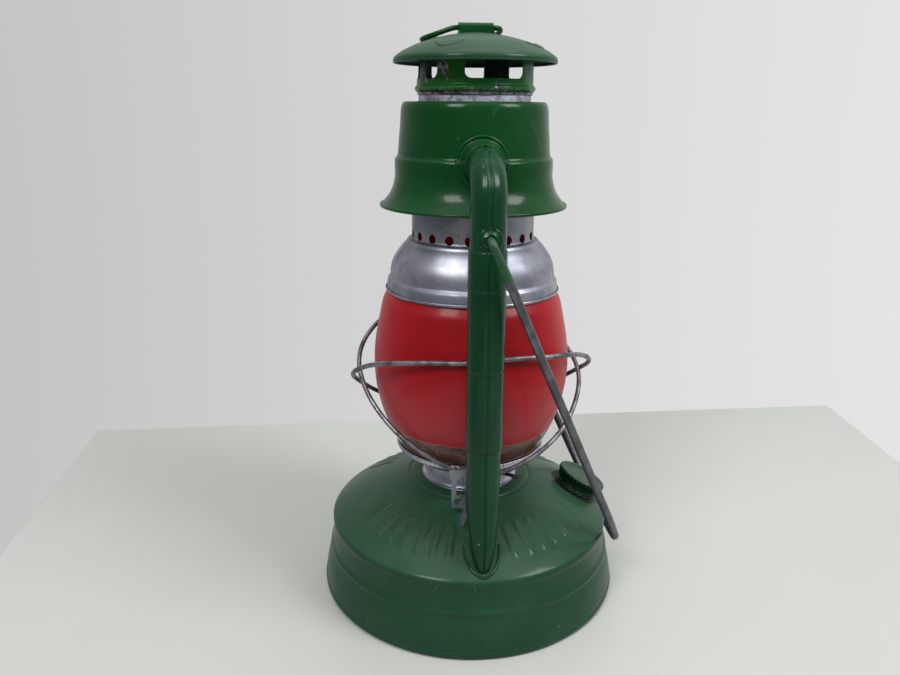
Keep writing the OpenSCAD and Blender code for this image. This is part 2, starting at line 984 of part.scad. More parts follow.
// Bent wire ring that droops on to the cap, with a straight pin through the strap
module lift_ring() {
    wire_r = ring_d / 2;
    pin_half = 9.6;
    bow = smooth([
        [0, -9, 0], [-0.1, -11, -0.2], [-0.7, -14, -1], [-1.9, -18.5, -2.5], [-5, -24, -4.2],
        [-11, -26.5, -5], [-16, -22, -4.6], [-19, -13, -3.8], [-20, -3, -3.2], [-19, 5, -2.9],
        [-14.5, 10.8, -2.4], [-8, 13.2, -1.2], [-4, 13.1, -0.5], [-1.5, 12.1, -0.1],
        [-0.3, 10.6, 0], [0, 9, 0]
    ]);
    color(enamel)
        translate([0, 0, ring_z])
            union() {
                rotate([90, 0, 0])
                    cylinder(r = wire_r, h = 2 * pin_half, center = true, $fn = 32);
                wire_along(bow, [for (p = bow) [0, 0, 1]], wire_r - 0.05, false);
            }
}

fount_body();
fount_bottom();
filler_neck();
filler_gasket();
filler_cap();
burner_collar();
burner_cup();
burner_cone();
wick_tube();
wick();
wick_shaft();
tube_foot_right();
tube_foot_left();
air_tube_right();
air_tube_left();
tube_elbow_right();
tube_elbow_left();
tube_collar_right();
tube_collar_left();
bail_ear_right();
bail_ear_left();
bail();
canopy();
chimney_spring();
globe_plate();
globe();
guard_wire_right();
guard_wire_left();
lift_link();
lift_crank();
crank_bracket();
bell();
chimney();
crown_ring();
cap();
cap_strap();
lift_ring();
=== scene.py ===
import json
import math

import bmesh
import bpy
import numpy as np
from mathutils import Matrix, Vector


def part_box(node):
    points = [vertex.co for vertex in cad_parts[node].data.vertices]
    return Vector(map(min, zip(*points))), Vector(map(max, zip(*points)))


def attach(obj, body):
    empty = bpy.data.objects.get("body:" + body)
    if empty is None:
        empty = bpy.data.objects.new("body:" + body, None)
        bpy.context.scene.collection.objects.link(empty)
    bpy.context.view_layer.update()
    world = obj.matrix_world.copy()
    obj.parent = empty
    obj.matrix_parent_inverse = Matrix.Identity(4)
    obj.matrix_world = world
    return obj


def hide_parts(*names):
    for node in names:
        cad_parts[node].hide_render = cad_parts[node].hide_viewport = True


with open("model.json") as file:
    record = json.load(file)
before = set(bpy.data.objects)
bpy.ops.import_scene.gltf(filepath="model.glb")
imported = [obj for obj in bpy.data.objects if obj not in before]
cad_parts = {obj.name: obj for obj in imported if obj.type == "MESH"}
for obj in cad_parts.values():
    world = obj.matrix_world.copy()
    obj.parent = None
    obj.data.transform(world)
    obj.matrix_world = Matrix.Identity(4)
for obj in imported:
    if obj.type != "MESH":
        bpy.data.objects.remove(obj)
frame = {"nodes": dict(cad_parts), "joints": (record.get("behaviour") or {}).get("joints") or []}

# Looks of a tubular lantern. Lengths are in millimetres until a mesh is made, and Z is up.
MM = 0.001
SHEET = 0.8
NODES = frame["nodes"]
JOINTS = {joint["name"]: joint for joint in frame["joints"]}


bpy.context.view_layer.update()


# ---------- places that the frame gives ----------

def corners(node):
    """Lowest and highest corner of a CAD node, in millimetres."""
    low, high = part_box(node)
    return np.array(low) / MM, np.array(high) / MM


def reach(node):
    """Radius of a CAD node that is round about Z."""
    return corners(node)[1][0]


def joint_place(name):
    """Point and direction of a hinge, in millimetres."""
    joint = JOINTS[name]
    return np.array(joint["pos_m"]) / MM, np.array(joint["axis"], float)


TUBE_R = (corners("air_tube_right")[1][0] - corners("air_tube_right")[0][0]) / 2
TUBE_X = corners("air_tube_right")[1][0] - TUBE_R
SLEEVE_R = (corners("tube_elbow_right")[1][1] - corners("tube_elbow_right")[0][1]) / 2
ELBOW_Z = corners("tube_elbow_right")[1][2] - SLEEVE_R
ELBOW_BEND = 17.0
TUBE_CRIMPS = (150.4, 189.8)
TUBE_WALL = 0.58
EAR_Z = joint_place("bail_swing")[0][2]


# ---------- lines, sections and surfaces ----------

def rounded(line, times=2):
    """The line with its corners cut, so that it runs smoothly."""
    line = np.array(line, float)
    for _ in range(times):
        a, b = line[:-1], line[1:]
        cut = np.empty((2 * len(a), line.shape[1]))
        cut[0::2] = 0.75 * a + 0.25 * b
        cut[1::2] = 0.25 * a + 0.75 * b
        line = np.vstack([line[:1], cut, line[-1:]])
    return line


def through(points):
    """Smooth closed line through the points."""
    steps = 8
    middle = np.array(points, float)[:, None]
    before, after, later = (np.roll(middle, shift, 0) for shift in (1, -1, -2))
    u = np.arange(steps)[None, :, None] / steps
    line = 0.5 * (2 * middle + (after - before) * u
                  + (2 * before - 5 * middle + 4 * after - later) * u ** 2
                  + (3 * middle - before - 3 * after + later) * u ** 3)
    return line.reshape(-1, 3)


def spaced(line, step):
    """The line with no two neighbouring points further apart than step."""
    parts = [line[:1]]
    for a, b in zip(line[:-1], line[1:]):
        count = max(1, math.ceil(np.linalg.norm(b - a) / step))
        parts.append(a + (b - a) * (np.arange(1, count + 1) / count)[:, None])
    return np.vstack(parts)


def fitted(line, node, bead=0.0):
    """An outline of radius and height, stretched to a CAD node that is round about Z."""
    line = np.array(line, float)
    low, high = corners(node)
    bottom, top = low[2] + bead, high[2]
    line[:, 0] *= (high[0] - bead * 0.8) / line[:, 0].max()
    spread = line[:, 1].max() - line[:, 1].min()
    line[:, 1] = bottom + (line[:, 1] - line[:, 1].min()) * (top - bottom) / spread
    return line


def section(line, sheet=SHEET, bead=0.0, inner_step=2.5):
    """Closed section of pressed sheet: the outer line, its rolled end and the inner line back."""
    along = np.gradient(line, axis=0)
    along /= np.linalg.norm(along, axis=1)[:, None]
    inward = np.stack([along[:, 1], -along[:, 0]], 1)
    inner = line + inward * sheet
    inner[:, 0] = np.maximum(inner[:, 0], 0)
    size = max(bead, sheet / 2)
    reach_of_roll = 125 if bead else 80
    angles = np.radians(np.linspace(-reach_of_roll, reach_of_roll, 17))
    middle = line[-1] + inward[-1] * sheet / 2
    roll = middle + size * (
        np.cos(angles)[:, None] * along[-1] + np.sin(angles)[:, None] * inward[-1]
    )
    keep = [0]
    for i in range(1, len(inner)):
        if np.linalg.norm(inner[i] - inner[keep[-1]]) >= inner_step:
            keep.append(i)
    inner = inner[keep]
    start = [inner[0] * 0.25 + line[0] * 0.75] if line[0][0] > 0.01 else []
    return np.vstack([*[p[None] for p in start], line, roll, inner[::-1]])


def spun(loop, segments=256):
    """Grid of points from a section of radius and height, turned about Z."""
    angles = np.arange(segments) * 2 * math.pi / segments
    r, z = loop[:, 0][:, None], loop[:, 1][:, None]
    return np.stack([r * np.cos(angles), r * np.sin(angles), z + 0 * angles], -1)


def placed(grid, origin, axis):
    """A grid made about Z, set down with its Z along an axis."""
    turn = np.array(Vector((0, 0, 1)).rotation_difference(Vector(axis)).to_matrix())
    return grid @ turn.T + np.array(origin)


def mirrored(grid, side):
    return grid * np.array([side, 1, 1])


def swept(path, across, section_of):
    """Grid along a path. section_of(i) gives row i's distances along the normal and across it."""
    along = np.gradient(path, axis=0)
    along /= np.linalg.norm(along, axis=1)[:, None]
    across = np.broadcast_to(np.array(across, float), path.shape)
    across = across - along * (across * along).sum(1)[:, None]
    across = across / np.linalg.norm(across, axis=1)[:, None]
    normal = np.cross(along, across)
    rows = []
    for i in range(len(path)):
        out, side = section_of(i)
        rows.append(path[i] + out[:, None] * normal[i] + side[:, None] * across[i])
    return np.array(rows)


def bump_at(value, centre, width):
    """Smooth bump of height 1 at centre."""
    return np.exp(-(((value - centre) / width) ** 2))


def step_between(low, high, value):
    """0 below low, 1 above high, smooth between."""
    t = np.clip((value - low) / (high - low), 0, 1)
    return t * t * (3 - 2 * t)


def ripple(points, size, seed):
    """Smooth random value, mostly between -1 and 1, that varies over about size millimetres."""
    chance = np.random.default_rng(seed)
    waves = chance.normal(size=(9, 3))
    waves *= (2 * math.pi / size) / np.linalg.norm(waves, axis=1)[:, None]
    waves *= chance.uniform(0.6, 1.4, 9)[:, None]
    phase = chance.uniform(0, 2 * math.pi, 9)
    return np.cos(points @ waves.T + phase).sum(-1) / 4


def dented(grid, amount, size, seed):
    """Round sheet metal pushed in and out a little along its radius."""
    out = grid[..., :2] / np.maximum(np.linalg.norm(grid[..., :2], axis=-1), 1e-6)[..., None]
    fade = np.clip(np.linalg.norm(grid[..., :2], axis=-1) / 12, 0, 1)
    shift = (amount * ripple(grid, size, seed) * fade)[..., None] * out
    return grid + np.concatenate([shift, 0 * shift[..., :1]], -1)


def mesh_of(name, grid, wrap_rows=True):
    """Mesh of a grid of points, closed round its columns, and round its rows too if asked."""
    rows, columns = grid.shape[:2]
    index = np.arange(rows * columns).reshape(rows, columns)
    below = np.roll(index, -1, 0)
    quads = np.stack([index, np.roll(index, -1, 1), np.roll(below, -1, 1), below], -1)
    if not wrap_rows:
        quads = quads[:-1]
    mesh = bpy.data.meshes.new(name)
    mesh.from_pydata((grid.reshape(-1, 3) * MM).tolist(), [], quads.reshape(-1, 4).tolist())
    made = bmesh.new()
    made.from_mesh(mesh)
    bmesh.ops.remove_doubles(made, verts=made.verts, dist=2e-6)
    bmesh.ops.recalc_face_normals(made, faces=made.faces)
    made.to_mesh(mesh)
    made.free()
    mesh.shade_smooth()
    return mesh


def piece(name, grids, body, material, replaced=(), wrap_rows=True):
    """Object made of one or more grids, riding on a body in place of some CAD nodes."""
    grids = grids if isinstance(grids, list) else [grids]
    joined = bmesh.new()
    for grid in grids:
        joined.from_mesh(mesh_of(name, grid, wrap_rows))
    mesh = bpy.data.meshes.new(name)
    joined.to_mesh(mesh)
    joined.free()
    mesh.shade_smooth()
    mesh.materials.append(material)
    made = bpy.data.objects.new(name, mesh)
    bpy.context.scene.collection.objects.link(made)
    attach(made, body)
    if replaced:
        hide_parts(*replaced)
    return made


def skin(made, rings):
    """Closed skin over rings of corners, in millimetres, with as many corners in each."""
    points = [[made.verts.new(Vector(corner) * MM) for corner in ring] for ring in rings]
    count = len(points[0])
    for first, second in zip(points[:-1], points[1:]):
        for k in range(count):
            j = (k + 1) % count
            made.faces.new((first[k], first[j], second[j], second[k]))
    made.faces.new(points[0][::-1])
    made.faces.new(points[-1])


def finished(made, name):
    """Mesh of what was built, with its faces looking outwards."""
    bmesh.ops.recalc_face_normals(made, faces=made.faces)
    mesh = bpy.data.meshes.new(name)
    made.to_mesh(mesh)
    made.free()
    return mesh


def closed_rod(path, radius, across=(0, 1, 0), sides=20):
    """Grid of a round bar along an open path, closed by a rounded end at both ends."""
    angles = np.arange(sides) * 2 * math.pi / sides
    along = np.gradient(path, axis=0)
    along /= np.linalg.norm(along, axis=1)[:, None]
    radii = np.broadcast_to(np.array(radius, float), len(path))
    caps = [1.0, 0.92, 0.7, 0.38, 0.0]
    start = [path[0] - along[0] * radii[0] * c for c in caps]
    end = [path[-1] + along[-1] * radii[-1] * c for c in caps[::-1]]
    shrink = [0.0, 0.39, 0.71, 0.92, 1.0]
    sizes = np.concatenate([radii[0] * np.array(shrink), radii, radii[-1] * np.array(shrink[::-1])])
    points = np.vstack([start, path, end])
    return swept(points, across, lambda i: (sizes[i] * np.cos(angles), sizes[i] * np.sin(angles)))


def closed_wire(path, radii):
    """Grid of a round wire along a closed path."""
    sides = 20
    row = np.arange(-2, len(path) + 3) % len(path)
    angles = np.arange(sides) * 2 * math.pi / sides
    x, y = np.cos(angles), np.sin(angles)
    return swept(path[row], (0, 0, 1), lambda i: (radii[row[i]] * x, radii[row[i]] * y))[2:-3]


def cut(target, cutters):
    """Cuts holes through a piece with a closed mesh of cutters."""
    tool = bpy.data.objects.new("cutter", cutters)
    bpy.context.scene.collection.objects.link(tool)
    step = target.modifiers.new("cut", "BOOLEAN")
    step.object = tool
    step.operation = "DIFFERENCE"
    step.solver = "EXACT"
    bpy.context.view_layer.update()
    solid = bpy.data.meshes.new_from_object(
        target.evaluated_get(bpy.context.evaluated_depsgraph_get())
    )
    target.modifiers.clear()
    materials = list(target.data.materials)
    target.data = solid
    target.data.materials.clear()
    for material in materials:
        target.data.materials.append(material)
    bpy.data.objects.remove(tool)
    target.data.shade_smooth()
    target.data.set_sharp_from_angle(angle=math.radians(40))


# ---------- materials ----------

def srgb(red, green, blue):
    """Linear colour of three screen values from 0 to 255."""
    def linear(value):
        value /= 255
        return value / 12.92 if value <= 0.04045 else ((value + 0.055) / 1.055) ** 2.4
    return (linear(red), linear(green), linear(blue), 1)


class Finish:
    """A node material being built, with the object's own coordinates for its patterns."""

    def __init__(self, name):
        self.material = bpy.data.materials.new(name)
        self.material.use_nodes = True
        self.tree = self.material.node_tree
        self.surface = self.tree.nodes["Principled BSDF"]
        self.place = self.add("ShaderNodeTexCoord").outputs["Object"]

    def add(self, kind, **settings):
        node = self.tree.nodes.new(kind)
        for key, value in settings.items():
            setattr(node, key, value)
        return node

    def put(self, socket, value):
        if isinstance(value, bpy.types.NodeSocket):
            self.tree.links.new(value, socket)
        else:
            socket.default_value = value

    def set(self, **values):
        for key, value in values.items():
            self.put(self.surface.inputs[key.replace("_", " ")], value)

    def stretched(self, scale):
        node = self.add("ShaderNodeMapping")
        self.put(node.inputs["Vector"], self.place)
        node.inputs["Scale"].default_value = scale
        return node.outputs["Vector"]

    def noise(self, per_metre, detail=4, roughness=0.55, distortion=0.0, stretch=None):
        node = self.add("ShaderNodeTexNoise")
        self.put(node.inputs["Vector"], self.stretched(stretch) if stretch else self.place)
        self.put(node.inputs["Scale"], per_metre)
        self.put(node.inputs["Detail"], detail)
        self.put(node.inputs["Roughness"], roughness)
        self.put(node.inputs["Distortion"], distortion)
        return node.outputs["Fac"]

    def cells(self, per_metre, stretch=None):
        node = self.add("ShaderNodeTexVoronoi", feature="DISTANCE_TO_EDGE")
        self.put(node.inputs["Vector"], self.stretched(stretch) if stretch else self.place)
        self.put(node.inputs["Scale"], per_metre)
        return node.outputs["Distance"]

    def span(self, value, low, high, to_low=0.0, to_high=1.0):
        """The value from low to high, spread smoothly over another range."""
        node = self.add("ShaderNodeMapRange", interpolation_type="SMOOTHSTEP")
        self.put(node.inputs["Value"], value)
        for key, number in (("From Min", low), ("From Max", high),
                            ("To Min", to_low), ("To Max", to_high)):
            self.put(node.inputs[key], number)
        return node.outputs["Result"]

    def sum(self, operation, a, b):
        node = self.add("ShaderNodeMath", operation=operation, use_clamp=operation != "SUBTRACT")
        self.put(node.inputs[0], a)
        self.put(node.inputs[1], b)
        return node.outputs[0]

    def mix(self, share, a, b):
        node = self.add("ShaderNodeMix", data_type="RGBA")
        self.put(node.inputs["Factor"], share)
        self.put(node.inputs[6], a)
        self.put(node.inputs[7], b)
        return node.outputs[2]

    def height(self):
        """Height above the foot, in metres."""
        node = self.add("ShaderNodeSeparateXYZ")
        self.put(node.inputs[0], self.place)
        return node.outputs["Z"]

    def facing_up(self):
        node = self.add("ShaderNodeSeparateXYZ")
        self.put(node.inputs[0], self.add("ShaderNodeNewGeometry").outputs["Normal"])
        return node.outputs["Z"]

    def facing_in(self):
        """1 where the surface looks towards the lantern's axis."""
        node = self.add("ShaderNodeVectorMath", operation="DOT_PRODUCT")
        self.put(node.inputs[0], self.stretched((1, 1, 0)))
        self.put(node.inputs[1], self.add("ShaderNodeNewGeometry").outputs["True Normal"])
        return self.span(node.outputs["Value"], -0.003, -0.001, 1, 0)

    def bumps(self, *layers):
        """Layers of (height value, depth in millimetres), one on the other."""
        normal = None
        for value, depth in layers:
            node = self.add("ShaderNodeBump")
            self.put(node.inputs["Height"], value)
            self.put(node.inputs["Distance"], depth * MM)
            self.put(node.inputs["Strength"], 1.0)
            if normal:
                self.put(node.inputs["Normal"], normal)
            normal = node.outputs["Normal"]
        self.put(self.surface.inputs["Normal"], normal)


def enamel(name, colour, faded, gloss=0.26, dust=0.25, worn=0.0, worn_below=None):
    """Green enamel with soft colour changes, dust on its upper faces, scuffs and bare spots."""
    f = Finish(name)
    clouds = f.noise(26, 5)
    streaks = f.noise(60, 4, stretch=(1, 1, 0.25))
    fine = f.noise(420, 3)
    paint = f.mix(f.span(clouds, 0.35, 0.7), colour, faded)
    paint = f.mix(f.span(streaks, 0.5, 0.8, 0, 0.35), paint, faded)
    settled = f.sum("MULTIPLY", f.span(f.facing_up(), 0.25, 1.0, 0, dust), f.span(clouds, 0.2, 0.75, 0.55, 1))
    paint = f.mix(settled, paint, srgb(112, 136, 116))
    scuffs = f.span(f.cells(38, stretch=(1, 1, 0.3)), 0.0, 0.006, 1, 0)
    scuffs = f.sum("MULTIPLY", scuffs, f.span(f.noise(55, 2), 0.56, 0.66, 0, 0.5))
    paint = f.mix(scuffs, paint, srgb(72, 104, 82))
    pits = f.span(f.noise(230, 4, 0.7), 0.69, 0.73)
    if worn_below:
        low, high = worn_below
        edge = f.sum("ADD", f.height(), f.sum("MULTIPLY", f.noise(150, 5, 0.65), 0.008))
        bare = f.span(edge, low, high, 1, 0)
        pits = f.sum("MAXIMUM", pits, bare)
    if worn:
        pits = f.sum("MAXIMUM", pits, f.span(f.noise(75, 6, 0.7), 0.66 - worn, 0.69 - worn))
    metal = f.mix(f.span(fine, 0.4, 0.6), srgb(150, 150, 158), srgb(78, 70, 66))
    f.set(
        Base_Color=f.mix(pits, paint, metal),
        Metallic=f.sum("MULTIPLY", pits, 0.7),
        Roughness=f.sum("ADD", f.span(clouds, 0.3, 0.75, gloss, gloss + 0.12),
                        f.sum("MULTIPLY", settled, 0.5)),
        Specular_IOR_Level=0.1,
        Coat_Weight=0.16,
        Coat_Roughness=0.12,
    )
    f.bumps((f.noise(95, 2), 0.10), (fine, 0.012), (pits, -0.05))
    return f.material


def tinned(name, bright=1.0, dirt=0.4, rough=0.38, rust=0.0, painted_red_glow_inside=False):
    """Dull tinned steel with patches and dark specks, and where asked a painted dark red glow on its inner
    side, standing in for red light through the globe.
    """
    f = Finish(name)
    clouds = f.noise(34, 6, 0.6, 0.6)
    blotches = f.noise(88, 6, 0.7)
    specks = f.noise(330, 5, 0.75)
    light = srgb(196 * bright, 198 * bright, 208 * bright)
    blue = srgb(152 * bright, 155 * bright, 172 * bright)
    purple = srgb(158 * bright, 150 * bright, 160 * bright)
    colour = f.mix(f.span(clouds, 0.36, 0.62), light, blue)
    colour = f.mix(f.span(f.noise(21, 4), 0.5, 0.68, 0, 0.7), colour, purple)
    stain = f.span(blotches, 0.58, 0.74, 0, dirt)
    colour = f.mix(stain, colour, srgb(72, 66, 70))
    dots = f.sum("MULTIPLY", f.span(specks, 0.62, 0.7), f.span(blotches, 0.42, 0.6))
    colour = f.mix(f.sum("MULTIPLY", dots, 0.8), colour, srgb(38, 34, 40))
    if rust:
        flakes = f.span(f.noise(260, 6, 0.75), 0.56 - rust * 0.1, 0.62 - rust * 0.1)
        colour = f.mix(f.sum("MULTIPLY", flakes, rust), colour, srgb(70, 62, 60))
        f.bumps((f.noise(300, 6, 0.7), 0.35), (specks, 0.05))
    else:
        f.bumps((f.noise(120, 3), 0.06), (specks, 0.02))
    metal = f.span(f.sum("ADD", stain, dots), 0.0, 1.0, 0.92, 0.35)
    if painted_red_glow_inside:
        # Painted light: the inner side gets a dark red colour, less metal and a faint red emission, standing
        # in for red light that comes through the globe.
        within = f.facing_in()
        colour = f.mix(within, colour, srgb(84, 26, 32))
        f.set(Emission_Color=srgb(110, 20, 28), Emission_Strength=f.span(within, 0, 1, 0, 0.13))
        metal = f.sum("MULTIPLY", metal, f.span(within, 0, 1, 1, 0))
    f.set(
        Base_Color=colour,
        Metallic=metal,
        Roughness=f.sum("ADD", f.span(clouds, 0.3, 0.7, rough - 0.06, rough + 0.1),
                        f.sum("MULTIPLY", stain, 0.4)),
    )
    return f.material


def zinc_wire(name, light=srgb(118, 116, 120), dark=srgb(66, 62, 62), paint_above=None):
    """Dull zinc wire, with old green paint on the hooked ends where asked."""
    f = Finish(name)
    patches = f.noise(90, 6, 0.65)
    fine = f.noise(700, 4, 0.7)
    colour = f.mix(f.span(patches, 0.38, 0.66), light, dark)
    colour = f.mix(f.span(f.noise(260, 5, 0.7), 0.58, 0.7, 0, 0.55), colour, srgb(92, 74, 60))
    metal = 0.85
    if paint_above:
        ragged = f.sum("ADD", f.height(), f.sum("MULTIPLY", f.noise(300, 4), 0.004))
        painted = f.span(ragged, paint_above, paint_above + 0.0012)
        colour = f.mix(painted, colour, srgb(28, 70, 42))
        metal = f.span(painted, 0, 1, 0.85, 0.05)
    f.set(Base_Color=colour, Metallic=metal, Roughness=f.span(patches, 0.3, 0.7, 0.36, 0.52))
    f.bumps((patches, 0.05), (fine, 0.015))
    return f.material


def brass():
    f = Finish("brass_tarnished")
    clouds = f.noise(70, 5, 0.6)
    colour = f.mix(f.span(clouds, 0.35, 0.65), srgb(176, 142, 84), srgb(98, 74, 46))
    f.set(Base_Color=colour, Metallic=0.95, Roughness=f.span(clouds, 0.3, 0.7, 0.3, 0.5))
    f.bumps((f.noise(400, 4), 0.02),)
    return f.material


def cotton():
    f = Finish("cotton_wick")
    weave = f.add("ShaderNodeTexWave", wave_type="BANDS", bands_direction="DIAGONAL")
    f.put(weave.inputs["Vector"], f.place)
    f.put(weave.inputs["Scale"], 260)
    f.put(weave.inputs["Distortion"], 1.2)
    threads = weave.outputs["Fac"]
    char = f.span(f.height(), 0.091, 0.095)
    colour = f.mix(threads, srgb(190, 178, 150), srgb(224, 214, 190))
    f.set(Base_Color=f.mix(char, colour, srgb(26, 22, 20)), Roughness=0.95, Sheen_Weight=0.3)
    f.bumps((threads, 0.25), (f.noise(900, 2), 0.05))
    return f.material


def cork():
    f = Finish("cork_seal")
    grain = f.noise(500, 6, 0.7)
    colour = f.mix(f.span(grain, 0.35, 0.7), srgb(170, 130, 90), srgb(96, 66, 44))
    f.set(Base_Color=colour, Roughness=0.9)
    f.bumps((grain, 0.15),)
    return f.material


def globe_glass(coat_foot):
    """Blown glass, clear at its foot and coated red inside above coat_foot, in metres."""
    f = Finish("red_coated_glass")
    ragged = f.sum("MULTIPLY", f.noise(60, 5, 0.6), 0.005)
    coat = f.span(f.sum("ADD", f.height(), ragged), coat_foot + 0.0015, coat_foot + 0.0036)
    brushed = f.noise(30, 5, 0.6, 0.8, stretch=(1, 1, 0.22))
    red = f.mix(f.span(brushed, 0.32, 0.7), srgb(146, 8, 16), srgb(158, 16, 28))
    red = f.mix(f.span(f.noise(14, 3), 0.45, 0.7, 0, 0.5), red, srgb(120, 12, 20))
    # Painted reflection: the red turns paler pink towards the coat's foot, standing in for the pale floor
    # reflected in the lower glass.
    red = f.mix(f.span(f.height(), coat_foot, coat_foot + 0.05, 0.7, 0), red, srgb(162, 52, 60))
    streaks = f.noise(70, 5, stretch=(0.5, 0.5, 2))
    smoke = f.mix(f.span(streaks, 0.4, 0.65), srgb(196, 170, 160), srgb(140, 108, 100))
    smoke = f.mix(f.span(f.height(), coat_foot - 0.012, coat_foot), srgb(150, 84, 78), smoke)
    f.set(
        Base_Color=f.mix(coat, smoke, red),
        Transmission_Weight=f.span(coat, 0, 1, 0.72, 0),
        Roughness=f.span(coat, 0, 1, 0.03, 0.42),
        IOR=1.47,
        Specular_IOR_Level=f.span(coat, 0, 1, 0.5, 0.18),
        Coat_Weight=f.span(coat, 0, 1, 0, 0.12),
        Coat_Roughness=f.span(f.noise(40, 4), 0.3, 0.7, 0.06, 0.16),
    )
    f.bumps((f.noise(26, 2), 0.5), (f.noise(9, 1), 0.8))
    return f.material


def floor_finish():
    f = Finish("pale_floor")
    clouds = f.noise(3, 4)
    f.set(
        Base_Color=f.mix(f.span(clouds, 0.3, 0.7), srgb(186, 188, 183), srgb(181, 183, 178)),
        Roughness=f.span(clouds, 0.3, 0.7, 0.3, 0.4),
    )
    return f.material


fount_green = enamel("enamel_fount", srgb(23, 60, 39), srgb(30, 67, 46), 0.28, 0.1)
shell_green = enamel("enamel_canopy", srgb(10, 60, 25), srgb(15, 67, 32), 0.22, 0.05)
tube_green = enamel("enamel_tubes", srgb(12, 53, 31), srgb(18, 61, 38), 0.18, 0.04)
cap_green = enamel("enamel_cap", srgb(28, 62, 40), srgb(38, 72, 50), 0.4, 0.16)
filler_green = enamel("enamel_filler", srgb(10, 40, 22), srgb(18, 48, 30), 0.34, 0.2)
crown_bottom = corners("crown_ring")[0][2] * MM
crown_green = enamel("enamel_crown", srgb(24, 92, 30), srgb(30, 66, 52), 0.34, 0.12, 0.06,
                     (crown_bottom + 0.004, crown_bottom + 0.0075))
bell_tin = tinned("tin_bell", 0.84, 0.6, 0.45, painted_red_glow_inside=True)
flue_tin = tinned("tin_chimney", 1.15, 0.5, 0.5, 0.5)
small_tin = tinned("tin_small_parts", 0.8, 0.5, 0.45)
plate_tin = tinned("tin_plate", 0.95, 0.5, 0.34)
guard_zinc = zinc_wire("zinc_guard", srgb(140, 138, 144), srgb(84, 78, 80))
bail_zinc = zinc_wire("zinc_bail", srgb(108, 109, 114), srgb(80, 80, 84), EAR_Z * MM - 0.0165)
dull_zinc = zinc_wire("zinc_dull")


# ---------- fount ----------

DOME_LINE = [
    (36.4, 64.0), (41, 62.3), (46, 60.4), (51, 58.4), (56, 56.2), (61, 53.8), (66, 51.2), (70, 48.9),
    (74, 46.6), (77, 44.6), (78.8, 43.3), (79.7, 42.5), (80.3, 41.6),
]


def fount():
    """Pressed tank with a grooved deck, ribs on its dome, a filler pocket and a rolled foot."""
    deck = [(20, 65.2), (26, 65.15), (32.4, 65.0), (34.2, 64.5), (34.9, 63.7), (35.4, 63.6)]
    wall = [
        (80.6, 40.6), (80.6, 39.6), (80.3, 38.6), (80.3, 36), (80.5, 33), (80.9, 29), (81.2, 26.9),
        (81.9, 25.6), (82.4, 24.6), (82.3, 23.6), (82.0, 22.6), (82.6, 20.4), (83.6, 17), (84.5, 13),
        (85.2, 9), (85.6, 6.4), (85.7, 4.4),
    ]
    upper = rounded(deck + DOME_LINE + wall)
    foot = rounded([
        (85.7, 4.4), (86.2, 3.6), (86.3, 2.4), (86.0, 1.0), (85.2, 0.2), (84.4, 0), (83.4, 0),
        (82.9, 0.4), (82.7, 1.4), (82.8, 3.2),
    ])
    outer = spaced(upper, 0.75)
    along = np.gradient(outer, axis=0)
    along /= np.linalg.norm(along, axis=1)[:, None]
    inner = (outer + SHEET * np.stack([along[:, 1], -along[:, 0]], 1))[::4]
    loop = np.vstack([outer, foot, inner[::-1]])
    loop[:, 0] *= reach("fount_body") / loop[:, 0].max()
    loop[:, 1] *= corners("fount_body")[1][2] / loop[:, 1].max()
    grid = spun(loop, 720)
    grid = pocketed(ribbed(dented(grid, 0.10, 46, 3)))
    return piece("fount", grid, "frame", fount_green, ["fount_body"])


POCKET_R = 15.5
RIB_INNER, RIB_OUTER = 53.0, 70.0
RIB_ANGLES = [14.5 + 7.4 * i for i in range(7)]


def ribbed(grid):
    """Rounded radial ribs pressed up from the dome, in four groups between the tubes and the filler."""
    r = np.linalg.norm(grid[..., :2], axis=-1)
    angle = np.degrees(np.arctan2(grid[..., 1], grid[..., 0]))
    lift = np.zeros_like(r)
    for from_tube in RIB_ANGLES:
        for centre in (from_tube, -from_tube, 180 - from_tube, from_tube - 180):
            off = np.radians((angle - centre + 180) % 360 - 180) * r
            wide = 1 - step_between(0.6, 2.4, np.abs(off))
            long = step_between(RIB_INNER - 2, RIB_INNER + 2, r) * (
                1 - step_between(RIB_OUTER - 2, RIB_OUTER + 2, r))
            lift = np.maximum(lift, wide * long)
    lift = 0.65 * lift * (grid[..., 2] > 40)
    out = grid[..., :2] / np.maximum(r, 1e-6)[..., None]
    return grid + np.concatenate([lift[..., None] * 0.46 * out, lift[..., None] * 0.89], -1)


def pocketed(grid):
    """Flat round pocket pressed into the dome, square to the filler neck."""
    origin, axis = joint_place("filler_turn")
    radius = POCKET_R
    from_origin = grid - origin
    height = from_origin @ axis
    spread = np.linalg.norm(from_origin - height[..., None] * axis, axis=-1)
    inside = 1 - step_between(radius - 0.3, radius + 1.5, spread)
    sunk = np.minimum(0, -height) * inside * (grid[..., 2] > 33)
    return grid + sunk[..., None] * axis


fount()


def foot_lip(side):
    """Rolled lip that follows the tube's foot where it meets the dome."""
    half_width, tip, depth = 9.4, 78.4, 15.5
    turn = np.linspace(-1, 1, 61)
    y = half_width * np.sin(turn * math.pi / 2)
    x = tip - depth * np.abs(turn) ** 1.7
    z = np.interp(np.hypot(x, y), *zip(*DOME_LINE))
    path = np.stack([x, y, z + 0.15], 1)
    size = 0.85 - 0.25 * np.abs(turn) ** 4
    return mirrored(closed_rod(path, size, (0, 0, 1), 16), side)


# ---------- filler cap ----------

